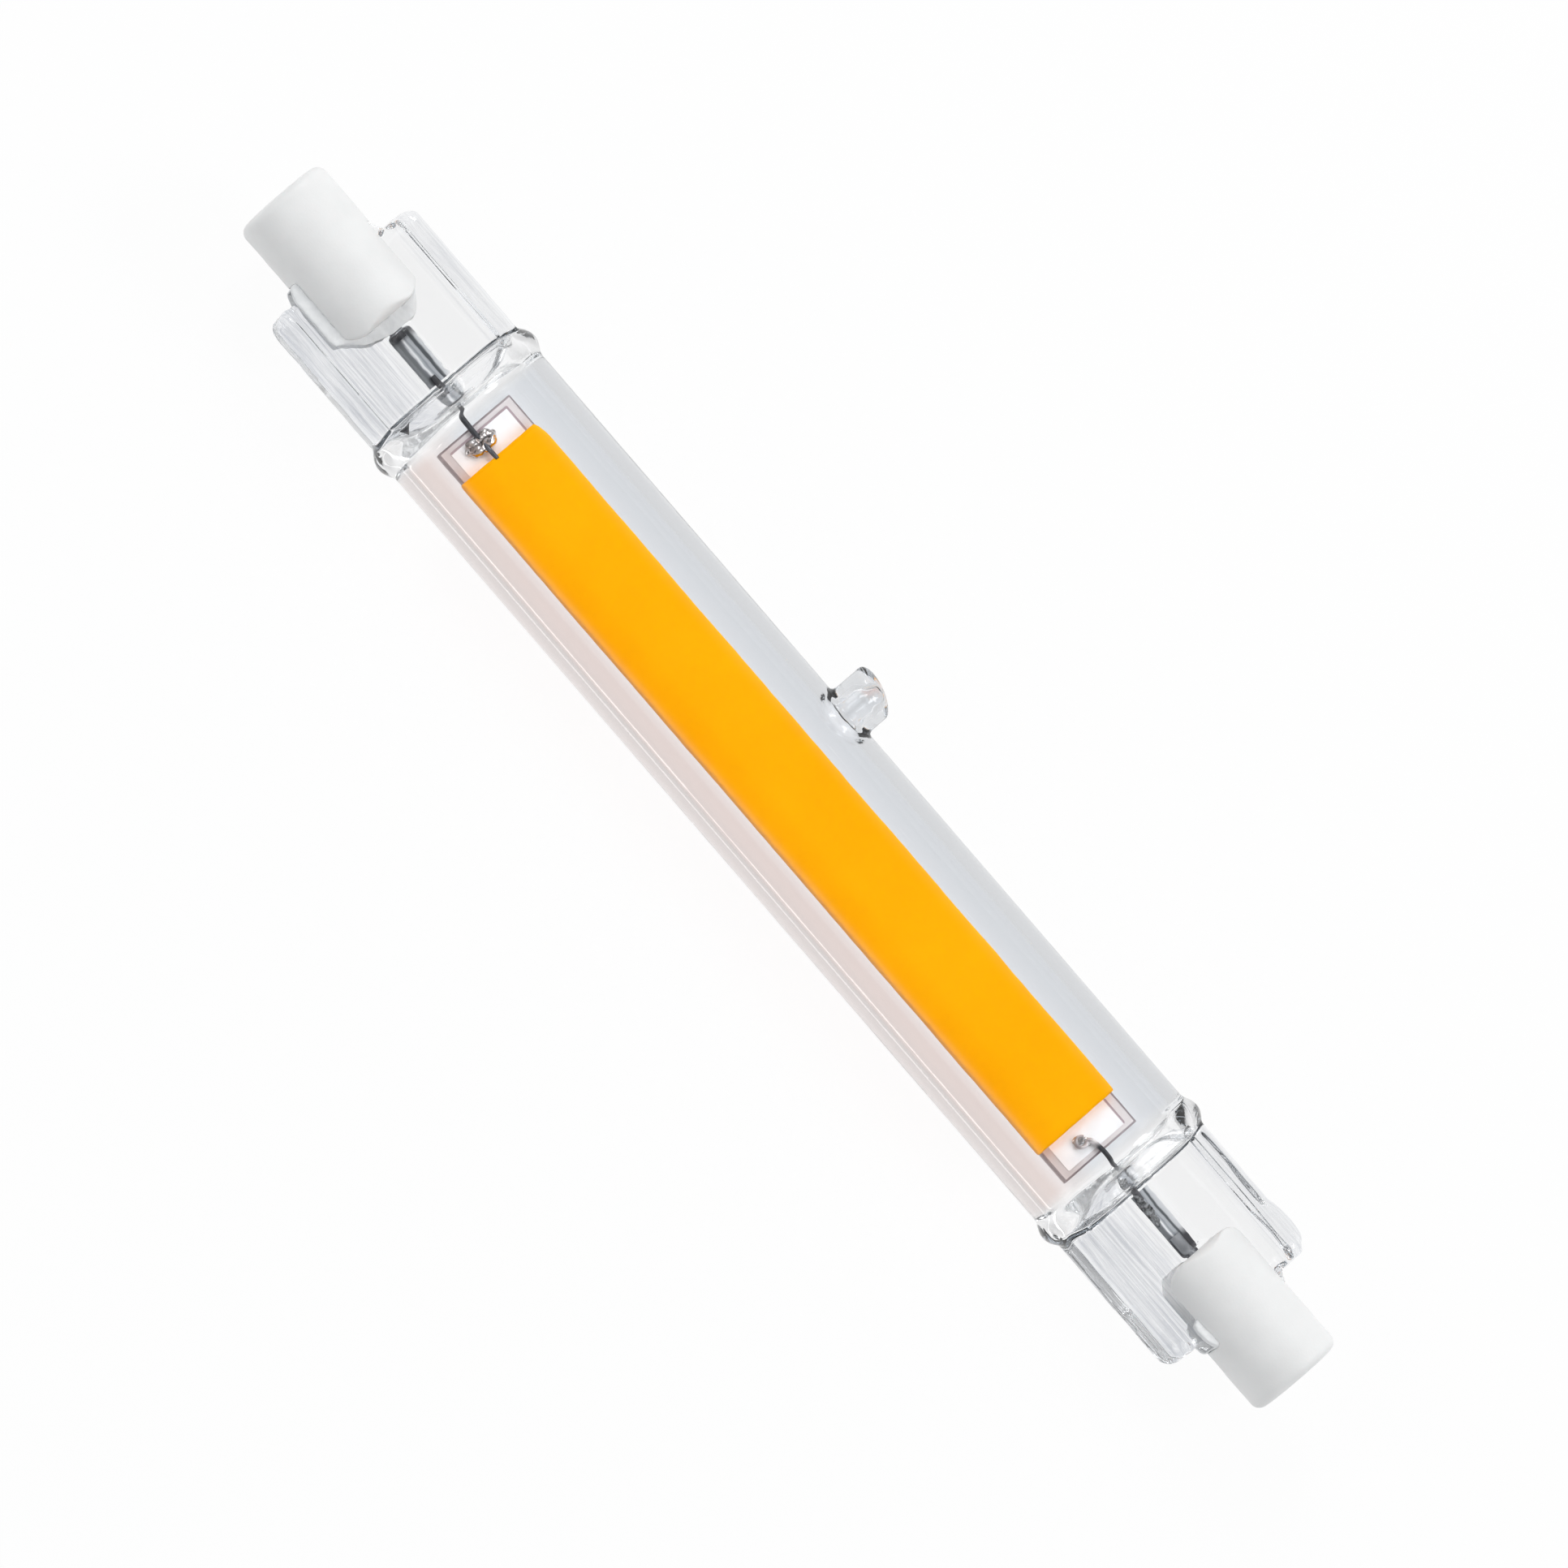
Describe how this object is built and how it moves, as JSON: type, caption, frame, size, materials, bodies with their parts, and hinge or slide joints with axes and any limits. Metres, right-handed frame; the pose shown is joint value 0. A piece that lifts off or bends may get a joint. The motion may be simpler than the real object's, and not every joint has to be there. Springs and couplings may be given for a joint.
{
  "type": "linear led bulb",
  "caption": "Double-ended linear LED bulb: a light strip sealed in a clear glass tube with pressed flat ends, ceramic caps and recessed contacts.",
  "frame": {"origin": "middle of the glass tube, on its axis, halfway between the two contacts", "axes": "+X along the tube towards the right contact, +Y towards the side of the sealed filling tip, which leans a little up, and +Z out of the face of the light strip"},
  "size_m": [0.1176, 0.0179, 0.0144],
  "materials": {
    "glass": "clear, fire polished",
    "ceramic": "fine unglazed",
    "cement": "rough",
    "contact": "nickel plated",
    "lead_wire": "dark drawn wire",
    "foil": "thin rolled foil",
    "solder": "bright, uneven",
    "pad": "satin silver",
    "track": "gold plated",
    "substrate": "translucent",
    "phosphor": "soft matt gel",
    "chip": "bare die"
  },
  "bodies": {
    "root": {"bridge_rectifier_chip": "chip", "current_regulator_chip": "chip", "glass_envelope": "glass", "led_chip_01": "chip", "led_chip_02": "chip", "led_chip_03": "chip", "led_chip_04": "chip", "led_chip_05": "chip", "led_chip_06": "chip", "led_chip_07": "chip", "led_chip_08": "chip", "led_chip_09": "chip", "led_chip_10": "chip", "led_chip_11": "chip", "led_chip_12": "chip", "led_chip_13": "chip", "led_chip_14": "chip", "led_chip_15": "chip", "led_chip_16": "chip", "led_chip_17": "chip", "led_chip_18": "chip", "led_chip_19": "chip", "led_chip_20": "chip", "led_chip_21": "chip", "led_chip_22": "chip", "led_chip_23": "chip", "led_chip_24": "chip", "led_chip_25": "chip", "led_chip_26": "chip", "led_chip_27": "chip", "led_chip_28": "chip", "led_substrate": "substrate", "left_cement": "cement", "left_ceramic_cap": "ceramic", "left_contact": "contact", "left_foil": "foil", "left_inner_lead": "lead_wire", "left_outer_lead": "lead_wire", "left_pad": "pad", "left_solder": "solder", "left_track": "track", "phosphor_layer": "phosphor", "right_cement": "cement", "right_ceramic_cap": "ceramic", "right_contact": "contact", "right_foil": "foil", "right_inner_lead": "lead_wire", "right_outer_lead": "lead_wire", "right_pad": "pad", "right_solder": "solder", "right_track": "track"}
  },
  "joints": []
}
